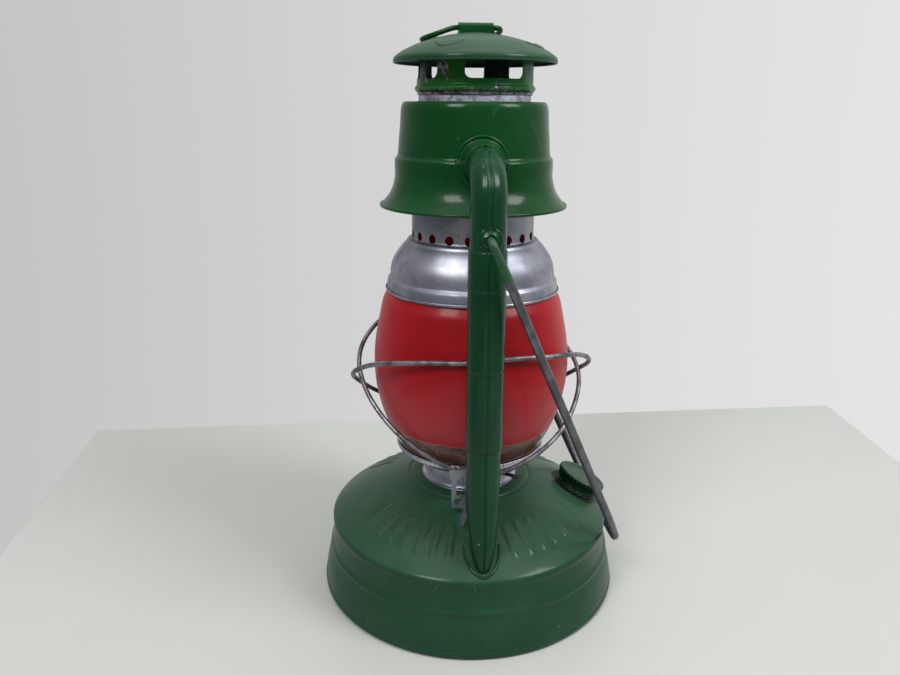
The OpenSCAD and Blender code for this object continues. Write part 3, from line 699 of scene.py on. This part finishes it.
def filler_cap():
    """Screw cap with a wide grooved rim, a ridged skirt and a dished top."""
    origin, axis = joint_place("filler_turn")
    grooves = 34
    line = spaced(rounded([
        (0, 10.2), (4, 10.2), (7.6, 10.35), (8.8, 10.1), (10.2, 10.3), (11.4, 10.8), (12.4, 11.15),
        (13.6, 11.2), (14.3, 10.9), (14.6, 10.2), (14.6, 9.2), (14.3, 8.5), (13.9, 8.0), (13.6, 7.0),
        (13.4, 5.4), (12.7, 5.0), (12.6, 4.6), (13.1, 4.2), (13.1, 3.8), (12.5, 3.4), (12.5, 3.1),
        (13.0, 2.7), (12.9, 2.2), (12.4, 1.8),
    ]), 0.3)
    inner = [(10.2, 1.9), (9.9, 2.6), (9.9, 9.7), (0, 9.7)]
    grid = spun(np.vstack([line, spaced(np.array(inner, float), 1.5)]), 448)
    angle = np.arctan2(grid[..., 1], grid[..., 0])
    r = np.linalg.norm(grid[..., :2], axis=-1)
    groove = (0.5 + 0.5 * np.cos(angle * grooves)) ** 3
    rim = step_between(13.2, 13.6, r) * step_between(5.0, 5.8, grid[..., 2]) * (
        1 - step_between(9.6, 10.9, grid[..., 2]))
    grid[..., :2] *= (1 - 0.06 * groove * rim)[..., None]
    return piece("filler_screw_cap", placed(grid, origin, axis), "filler_cap",
                 filler_green, ["filler_cap"], wrap_rows=False)


filler_cap()


# ---------- air tubes ----------

def tube_grid(path, radius, wall, seam=0.55):
    """Closed tube wall along a path, with a seam down its outer side."""
    across, columns = (0, 1, 0), 128
    angles = np.arange(columns) * 2 * math.pi / columns
    angles = angles - 0.8 * np.sin(angles)
    around = np.minimum(angles, 2 * math.pi - angles)
    radii = np.broadcast_to(np.array(radius, float), len(path))
    groove = seam * bump_at(around, 0, 0.07) - 0.3 * seam * bump_at(around, 0.2, 0.09)

    def wall_at(i, less):
        r = radii[i] - less - (groove if less == 0 else 0)
        return r * np.cos(angles), r * np.sin(angles)

    outer = swept(path, across, lambda i: wall_at(i, 0))
    inner_index = list(range(0, len(path), 3))
    if inner_index[-1] != len(path) - 1:
        inner_index.append(len(path) - 1)
    whole = swept(path, across, lambda i: wall_at(i, wall))
    return np.concatenate([outer, whole[inner_index[::-1]]])


def vertical(x, top, bottom, step):
    count = max(2, math.ceil(abs(top - bottom) / step) + 1)
    z = np.linspace(top, bottom, count)
    return np.stack([np.full(count, x), np.zeros(count), z], 1)


def straight_tube(side, name, node):
    low, high = corners(node)
    path = vertical(TUBE_X, high[2], low[2], 0.5)
    z = path[:, 2]
    radius = np.full(len(z), TUBE_R)
    for crimp in TUBE_CRIMPS:
        radius += -0.28 * bump_at(z, crimp, 0.7) + 0.1 * bump_at(z, crimp + 1.6, 0.8)
    radius -= 0.35 * step_between(high[2] - 0.9, high[2], z)
    radius -= 0.35 * (1 - step_between(low[2], low[2] + 0.9, z))
    radius += 0.06 * ripple(path, 21, 5)
    grid = tube_grid(path, radius, TUBE_WALL)
    piece(name, mirrored(grid, side), "frame", tube_green, [node])


def elbow(side, name, node):
    low = corners(node)[0]
    inner_end = 39.5
    bend_x = TUBE_X - ELBOW_BEND
    level = np.stack([np.linspace(inner_end, bend_x, 14), np.zeros(14), np.full(14, ELBOW_Z)], 1)
    turn = np.radians(np.linspace(90, 0, 70))
    bend_z = ELBOW_Z - ELBOW_BEND
    arc = np.stack([bend_x + ELBOW_BEND * np.cos(turn), 0 * turn, bend_z + ELBOW_BEND * np.sin(turn)], 1)
    drop = vertical(TUBE_X, bend_z, low[2], 0.6)
    path = np.vstack([level[:-1], arc, drop[1:]])
    run = np.concatenate([[0], np.cumsum(np.linalg.norm(np.diff(path, axis=0), axis=1))])
    radius = np.full(len(path), SLEEVE_R - 0.02)
    radius += 0.28 * bump_at(run, run[-1] - 3.5, 1.2)
    for wrinkle in range(5):
        radius -= 0.16 * bump_at(run, 11.5 + 2.1 * wrinkle, 0.7)
    radius += 0.05 * ripple(path, 17, 8)
    grid = tube_grid(path, radius, TUBE_WALL, seam=0.5)
    piece(name, mirrored(grid, side), "frame", tube_green, [node])


def foot(side, name, node):
    """Lower tube that leans out to the dome and narrows where it enters."""
    top = corners(node)[1][2]
    knee, lean, length = 84.0, math.radians(11), 44.0
    along = np.linspace(knee - top, length, 116)
    bend = lean * step_between(-9, 9, along)
    step = np.append(0, np.diff(along))
    x = TUBE_X + np.cumsum(step * np.sin(bend))
    z = top - np.cumsum(step * np.cos(bend))
    path = np.stack([x, 0 * along, z], 1)
    radius = SLEEVE_R - 1.9 * step_between(0, 34, along) - 3.6 * step_between(26, 46, along)
    grid = tube_grid(path, radius, 0.6, seam=0.7)
    piece(name, [mirrored(grid, side), foot_lip(side)], "frame", tube_green, [node])


CANOPY_LINE = rounded([
    (29.7, 270.3), (30.6, 271.1), (32, 271.7), (33.4, 272.7), (34.8, 273.4), (36, 273.6), (37.1, 272.9),
    (37.9, 271.2), (38.3, 268.4), (38.6, 263), (39.1, 257.5), (39.5, 252.5), (39.8, 248.8), (40.0, 247.3),
    (40.6, 246.4), (41.3, 245.7), (41.6, 244.6), (41.6, 241), (41.5, 237.6), (41.9, 235), (42.8, 231.4),
    (44.4, 227.8), (46.8, 224.8), (49.2, 222.3),
])


def canopy_radius(z):
    """Radius of the canopy's side at a height."""
    line = CANOPY_LINE[CANOPY_LINE[:, 0] > 37.5]
    return np.interp(z, line[::-1, 1], line[::-1, 0])


def collar(side, name, node):
    """Dished flange on the canopy, with a raised rim and a throat that climbs the elbow."""
    line = spaced(rounded([
        (13.2, -0.5), (13.2, 0.3), (12.9, 0.9), (12.4, 1.1), (11.9, 0.85), (11.4, 0.6), (10.9, 0.8),
        (10.4, 1.4), (10.0, 2.6), (9.6, 4.2), (9.3, 6.6), (9.0, 7.4), (8.55, 7.4),
    ]), 0.35)
    back = np.array([(8.55, 2.0), (8.55, -0.5)])
    loop = np.vstack([line, back])
    angles = np.arange(192) * 2 * math.pi / 192
    y = loop[:, 0][:, None] * np.sin(angles)
    z = ELBOW_Z + loop[:, 0][:, None] * np.cos(angles)
    out = np.sqrt(np.maximum(canopy_radius(z) ** 2 - y ** 2, 0))
    middle = canopy_radius(ELBOW_Z)
    follow = 1 - step_between(0.8, 6.0, loop[:, 1])[:, None]
    x = loop[:, 1][:, None] + out * follow + middle * (1 - follow)
    piece(name, mirrored(np.stack([x, y, z], -1), side), "frame", shell_green, [node])


def ear(side, name, node):
    """Boss round the bail's pin, pressed in two steps."""
    high = corners("bail_ear_right")[1]
    base = TUBE_X + SLEEVE_R - 2.6
    height = high[0] - base
    line = spaced(rounded([
        (5.9, 0), (5.9, 1.7), (5.5, 2.3), (4.9, 2.5), (4.5, 2.35), (4.1, 2.6), (3.8, 3.2),
        (3.3, height - 0.3), (2.9, height), (2.3, height), (1.98, height - 0.4), (1.98, 0.2),
    ]), 0.3)
    grid = placed(spun(line, 96), (base, 0, EAR_Z), (1, 0, 0))
    piece(name, mirrored(grid, side), "frame", tube_green, [node])


for side, word in ((1, "right"), (-1, "left")):
    straight_tube(side, f"straight_tube_{word}", f"air_tube_{word}")
    elbow(side, f"elbow_{word}", f"tube_elbow_{word}")
    foot(side, f"foot_{word}", f"tube_foot_{word}")
    collar(side, f"collar_{word}", f"tube_collar_{word}")
    ear(side, f"ear_{word}", f"bail_ear_{word}")


# ---------- canopy ----------

def canopy():
    line = spaced(fitted(CANOPY_LINE, "canopy", 0.9), 0.9)
    grid = dented(spun(section(line, bead=0.95), 384), 0.12, 38, 11)
    return piece("canopy_shell", grid, "frame", shell_green, ["canopy"])


canopy()


# ---------- globe, its plate and the burner ----------

COAT_FOOT = 0.1005  # metres above the floor
PLATE_TEETH = 96
CUP_RIBS = 60


def globe():
    line = rounded([
        (43.8, 181.4), (44.4, 180.4), (44.8, 178.6), (45.1, 176.8), (46.3, 174.9), (47.8, 172.4), (48.9, 170),
        (50.6, 162), (52.5, 153), (54, 142.5), (54.3, 133), (53.4, 121), (50.6, 108.5), (46.9, 98.8),
        (43, 90.6), (40.3, 86), (38.6, 84.5),
    ], 3)
    line = spaced(fitted(line, "globe"), 1.0)
    grid = dented(spun(section(line, 2.6, inner_step=1.2), 256), 0.07, 34, 21)
    return piece("globe_glass", grid, "globe_carrier", globe_glass(COAT_FOOT), ["globe"])


def plate():
    """Dished plate that carries the globe, with a fine serrated rim."""
    line = spaced(rounded([
        (42.0, 87.4), (42.4, 87.2), (42.4, 85.4), (42.1, 84.6), (41.4, 84.0), (40.2, 83.8), (38.2, 83.6),
        (37.2, 83.3), (36.4, 82.2), (35.6, 80.8), (34.6, 79.6), (33.4, 78.8), (31, 78.2), (22, 78.2),
    ]), 0.5)
    grid = spun(section(fitted(line, "globe_plate")), 512)
    angle = np.arctan2(grid[..., 1], grid[..., 0])
    r = np.linalg.norm(grid[..., :2], axis=-1)
    teeth = 0.5 + 0.5 * np.cos(angle * PLATE_TEETH)
    rim = step_between(40.8, 42.2, r) * step_between(84.3, 85.2, grid[..., 2])
    grid[..., :2] *= (1 - 0.009 * teeth * rim)[..., None]
    made = piece("globe_plate_shell", grid, "globe_carrier", plate_tin, ["globe_plate"])
    cut(made, ring_of_holes(24, 27.0, corners("globe_plate")[0][2] - 2, 6, 1.5))


def ring_of_holes(count, radius, bottom, height, hole):
    """Closed upright cutters on a circle round Z."""
    made = bmesh.new()
    for i in range(count):
        angle = i * 2 * math.pi / count
        middle = Vector((radius * math.cos(angle), radius * math.sin(angle), bottom + height / 2))
        bmesh.ops.create_cone(made, cap_ends=True, segments=28, radius1=hole * MM, radius2=hole * MM,
                              depth=height * MM, matrix=Matrix.Translation(middle * MM))
    return finished(made, "holes")


def burner_cup():
    """Flared cup round the burner, with fine ribs and a bright foot."""
    line = spaced(rounded([
        (20.5, 76.2), (22.8, 76.2), (23.6, 76.0), (24.1, 75.4), (24.4, 74), (24.8, 72), (25.2, 69.4),
        (25.6, 67.6), (26.2, 66.5), (26.9, 66.0), (27.4, 65.8),
    ]), 0.4)
    grid = spun(section(fitted(line, "burner_cup", 0.2), bead=0.5), 480)
    angle = np.arctan2(grid[..., 1], grid[..., 0])
    body = step_between(67, 69, grid[..., 2]) * (1 - step_between(74, 75.4, grid[..., 2]))
    grid[..., :2] *= (1 - 0.010 * (0.5 + 0.5 * np.cos(angle * CUP_RIBS)) * body)[..., None]
    return piece("burner_cup_shell", grid, "frame", plate_tin, ["burner_cup"])


globe()
plate()
burner_cup()


# ---------- wire guards ----------

GUARD_RADIUS = [43.9, 47.5, 55.5, 63, 60.5, 56.6, 54.7]
GUARD_HEIGHT = [83.2, 90, 105, 127.5, 144.5, 150, 150.5]


def round_the_globe(values, angle):
    """Smooth value at an angle from the wire's low point; the values are 30 degrees apart."""
    def at(i):
        return np.array(values)[np.abs((i + 6) % 12 - 6)]
    i = np.floor(angle / 30).astype(int)
    u = angle / 30 - i
    a, b, c, d = at(i - 1), at(i), at(i + 1), at(i + 2)
    return 0.5 * (2 * b + (c - a) * u + (2 * a - 5 * b + 4 * c - d) * u ** 2
                  + (3 * b - a - 3 * c + d) * u ** 3)


def guard(name, node, turned, extra, lean):
    angle = np.linspace(0, 360, 361)[:-1]
    bend = np.radians(angle)
    radius = round_the_globe(GUARD_RADIUS, angle) + extra * np.sin(bend) ** 2
    height = round_the_globe(GUARD_HEIGHT, angle) + lean * np.sin(bend)
    path = np.stack([turned * radius * np.cos(bend), turned * radius * np.sin(bend), height], 1)
    path += 0.25 * np.stack([ripple(path, 40, 31), ripple(path, 40, 32), ripple(path, 40, 33)], 1)
    piece(name, closed_wire(path, np.full(len(path), 1.3)), "globe_carrier", guard_zinc, [node])


guard("guard_right", "guard_wire_right", 1, 0.0, -4.0)
guard("guard_left", "guard_wire_left", -1, 3.5, -2.0)


# ---------- chimney stack ----------

def bell():
    """Bell with a ring of ragged holes, a rolled shoulder and a bright rolled rim."""
    line = rounded([
        (28.9, 226), (30.4, 226), (31.8, 225.9), (32.6, 225.3), (32.8, 224.2), (32.8, 216), (32.8, 206.6),
        (32.9, 205.3), (33.5, 204.5), (34.6, 204.2), (35.3, 203.7), (35.9, 202.6), (37.2, 201.4),
        (38.8, 199.6), (40.4, 197.4), (42.2, 194.9), (43.5, 192.2), (44.2, 189.6), (44.5, 187),
        (44.6, 185.2), (44.9, 184.3), (45.6, 183.7), (46.1, 182.8), (46.4, 181), (46.7, 178),
    ])
    line = spaced(fitted(line, "bell", 1.0), 0.8)
    grid = dented(spun(section(line, bead=1.1), 384), 0.14, 30, 41)
    made = piece("bell_shell", grid, "chimney_stack", bell_tin, ["bell"])
    cut(made, ragged_holes(20, 32.4, 206.6, 2.35))
    return made


def ragged_holes(count, radius, height, hole):
    """Short level cutters with an uneven outline, pointing outwards on a circle round Z."""
    chance = np.random.default_rng(17)
    made = bmesh.new()
    sides = 30
    for i in range(count):
        angle = (i + 0.5) * 2 * math.pi / count
        out = Vector((math.cos(angle), math.sin(angle), 0))
        across = Vector((-out.y, out.x, 0))
        phase = chance.uniform(0, 2 * math.pi, 3)
        rings = []
        for depth in (-4, 4):
            ring = []
            for k in range(sides):
                a = 2 * math.pi * k / sides
                r = hole * (1 + 0.035 * math.sin(3 * a + phase[0]) + 0.03 * math.sin(5 * a + phase[1])
                            + 0.02 * math.sin(9 * a + phase[2]))
                raised = Vector((0, 0, height + r * math.sin(a)))
                ring.append(out * (radius + depth) + across * (r * math.cos(a)) + raised)
            rings.append(ring)
        skin(made, rings)
    return finished(made, "ragged_holes")


def chimney():
    low, high = corners("chimney")
    line = spaced(np.array([(high[0], high[2]), (high[0], low[2])]), 0.8)
    grid = dented(spun(section(line), 256), 0.08, 16, 51)
    return piece("chimney_tube", grid, "chimney_stack", flue_tin, ["chimney"])


def crown():
    """Collar with a bead and four draught windows, knocked a little out of true."""
    low, high = corners("crown_ring")
    base = low[2]
    wall = high[0] - 1.3
    line = spaced(rounded([
        (wall, high[2]), (wall, base + 12), (wall, base + 6), (wall + 0.1, base + 4.8),
        (wall + 0.6, base + 4.1), (wall + 1.2, base + 3.4), (wall + 1.3, base + 2.8),
        (wall + 1.1, base + 2.1), (wall + 0.4, base + 1.4), (wall, base + 0.8), (wall - 0.05, base + 0.1),
    ]), 0.5)
    grid = dented(spun(section(line, 0.75, inner_step=0.5), 384), 0.22, 14, 61)
    made = piece("crown_collar", grid, "chimney_stack", crown_green, ["crown_ring"])
    cut(made, window_cutters(wall, base + 7.3, high[2] + 4))
    return made


POST_ANGLE = -30.0


def window_cutters(wall, foot_z, top_z):
    """Four blocks with rounded lower corners, each as wide as a window."""
    half, corner = wall * math.sin(math.radians(30.5)), 3.0
    turn = np.radians(np.linspace(180, 270, 9))
    left = [(-half + corner + corner * math.cos(a), foot_z + corner + corner * math.sin(a)) for a in turn]
    outline = left + [(-x, z) for x, z in left[::-1]] + [(half, top_z), (-half, top_z)]
    made = bmesh.new()
    for i in range(4):
        angle = math.radians(POST_ANGLE + 45 + 90 * i)
        out = Vector((math.cos(angle), math.sin(angle), 0))
        across = Vector((-out.y, out.x, 0))
        skin(made, [[out * depth + across * x + Vector((0, 0, z)) for x, z in outline] for depth in (12, 36)])
    return finished(made, "windows")


def cap():
    """Domed cap with a turned-down rim and a thin crescent pressed over each post."""
    line = rounded([
        (0, 306.5), (5, 306.4), (10, 305.9), (15, 305.1), (20, 304), (25, 302.6), (30, 301), (34, 299.2),
        (37, 297.7), (39.2, 296.3), (40.6, 295.3), (41.4, 294.5), (41.85, 293.6), (41.9, 292.8), (41.8, 292),
    ])
    line = spaced(fitted(line, "cap", 0.35), 0.45)
    grid = dented(spun(section(line, bead=0.55), 720), 0.12, 33, 71)
    for i in range(4):
        angle = math.radians(POST_ANGLE + 90 * i)
        out = np.array([math.cos(angle), math.sin(angle)])
        from_centre = grid[..., :2] - 29.2 * out
        outwards = from_centre @ out
        ring = np.linalg.norm(from_centre, axis=-1)
        shown = step_between(-1.2, 0.6, outwards) * (grid[..., 2] > 294.5)
        grid[..., 2] += (0.55 * bump_at(ring, 6.4, 0.45) - 0.4 * bump_at(ring, 7.2, 0.4)) * shown
    return piece("cap_dome", grid, "chimney_stack", cap_green, ["cap"])


def lift_ring():
    """Wire ring that droops on to the cap, straight where it passes through the strap."""
    origin = joint_place("ring_pivot")[0]
    path = origin + through([
        (0, 0, 0), (0, -4.5, 0), (0, -9, 0), (-0.1, -11, -0.2), (-0.7, -14, -1), (-1.9, -18.5, -2.5),
        (-5, -24, -4.2), (-11, -26.5, -5), (-16, -22, -4.6), (-19, -13, -3.8), (-20, -3, -3.2),
        (-19, 5, -2.9), (-14.5, 10.8, -2.4), (-8, 13.2, -1.2), (-4, 13.1, -0.5), (-1.5, 12.1, -0.1),
        (-0.3, 10.6, 0), (0, 9, 0), (0, 4.5, 0),
    ])
    grid = closed_wire(path, 1.27 + 0.03 * ripple(path, 9, 91))
    piece("lift_ring_wire", grid, "lift_ring", shell_green, ["lift_ring"])


def spring():
    low, high = corners("chimney_spring")
    wire, turns = 0.7, 5
    coil = (high[0] - low[0]) / 2 - wire
    angle = np.linspace(0, turns * 2 * math.pi, turns * 60)
    rise = np.linspace(low[2] + wire + 0.75, high[2] - wire - 0.75, len(angle))
    path = np.stack([coil * np.cos(angle), coil * np.sin(angle), rise], 1)
    piece("chimney_coil", closed_rod(path, wire, (0, 0, 1), 12), "frame", dull_zinc, ["chimney_spring"])


bell()
chimney()
crown()
cap()
lift_ring()
spring()


# ---------- CAD nodes shown as they are ----------

def show(node, material):
    """Gives a CAD node its finish."""
    made = NODES[node]
    made.data.materials.clear()
    made.data.materials.append(material)


brass_finish = brass()
show("fount_bottom", fount_green)
show("filler_neck", plate_tin)
show("filler_gasket", cork())
show("burner_collar", brass_finish)
show("burner_cone", brass_finish)
show("wick_tube", brass_finish)
show("wick", cotton())
show("wick_shaft", dull_zinc)
show("bail", bail_zinc)
show("lift_link", small_tin)
show("lift_crank", small_tin)
show("crank_bracket", dull_zinc)
show("cap_strap", shell_green)


# ---------- floor, light and camera ----------

FLOOR_OUTLINE = [(-221, -301), (-237, 370), (700, 300), (700, -262)]


def floor():
    """Thin slab that the lantern stands on, with its upper and lower edges broken."""
    lip = 1.2
    rings = []
    for inset, z in ((lip, 0), (0, -lip), (0, -5), (lip, -6)):
        rings.append([
            (x - math.copysign(inset, x), y - math.copysign(inset, y), z) for x, y in FLOOR_OUTLINE
        ])
    made = bmesh.new()
    skin(made, rings)
    mesh = finished(made, "floor")
    mesh.materials.append(floor_finish())
    slab = bpy.data.objects.new("floor", mesh)
    bpy.context.scene.collection.objects.link(slab)


def softbox(name, azimuth, elevation, distance, size, power):
    """Square light that faces the lantern's middle."""
    data = bpy.data.lights.new(name, "AREA")
    data.energy = power
    data.size = size
    lamp = bpy.data.objects.new(name, data)
    a, e = math.radians(azimuth), math.radians(elevation)
    towards = Vector((math.cos(a) * math.cos(e), math.sin(a) * math.cos(e), math.sin(e)))
    lamp.location = Vector((0, 0, 0.15)) + towards * distance
    lamp.rotation_mode = "QUATERNION"
    lamp.rotation_quaternion = towards.to_track_quat("Z", "Y")
    bpy.context.scene.collection.objects.link(lamp)


def surroundings():
    """Pale room, brighter at the lantern's back and on one side, and dim behind the camera."""
    world = bpy.data.worlds.new("pale_room")
    world.use_nodes = True
    tree = world.node_tree
    background = tree.nodes["Background"]
    direction = tree.nodes.new("ShaderNodeTexCoord").outputs["Generated"]
    split = tree.nodes.new("ShaderNodeSeparateXYZ")
    tree.links.new(direction, split.inputs[0])

    def ramp(axis, from_low, from_high, low, high):
        node = tree.nodes.new("ShaderNodeMapRange")
        for key, number in (("From Min", from_low), ("From Max", from_high),
                            ("To Min", low), ("To Max", high)):
            node.inputs[key].default_value = number
        tree.links.new(split.outputs[axis], node.inputs["Value"])
        return node.outputs["Result"]

    product = tree.nodes.new("ShaderNodeMath")
    product.operation = "MULTIPLY"
    tree.links.new(ramp("Y", -1, 1, 0.43, 0.87), product.inputs[0])
    tree.links.new(ramp("X", -0.7, 0.6, 1.0, 0.3), product.inputs[1])
    tint = tree.nodes.new("ShaderNodeCombineColor")
    for channel in range(3):
        tree.links.new(product.outputs[0], tint.inputs[channel])
    tree.links.new(tint.outputs[0], background.inputs["Color"])
    bpy.context.scene.world = world


CAMERA_PLACE = (0.4045, -0.0444, 0.2719)
CAMERA_HEADING = (-0.9968, 0.0802, 0)
CAMERA_LENS, CAMERA_SENSOR = 30.2, 36


def camera():
    """Camera a little above the elbows, looking down at the lantern from the side of a tube."""
    pitch, roll = math.radians(17.11), math.radians(-0.396)
    heading = Vector(CAMERA_HEADING).normalized()
    forward = heading * math.cos(pitch) + Vector((0, 0, -math.sin(pitch)))
    level = forward.cross(Vector((0, 0, 1))).normalized()
    upright = level.cross(forward)
    right = math.cos(roll) * level - math.sin(roll) * upright
    up = math.sin(roll) * level + math.cos(roll) * upright
    data = bpy.data.cameras.new("camera")
    data.sensor_width = CAMERA_SENSOR
    data.lens = CAMERA_LENS
    made = bpy.data.objects.new("camera", data)
    made.matrix_world = Matrix.Translation(CAMERA_PLACE) @ Matrix(
        (right, up, -forward)).transposed().to_4x4()
    bpy.context.scene.collection.objects.link(made)
    bpy.context.scene.camera = made


floor()
softbox("window_left", -39, 44, 1.3, 0.42, 9)
softbox("window_right", 59, 42, 1.3, 0.5, 11)
softbox("ceiling", 20, 84, 1.5, 1.6, 10)
surroundings()
camera()
bpy.context.scene.view_settings.view_transform = "Standard"
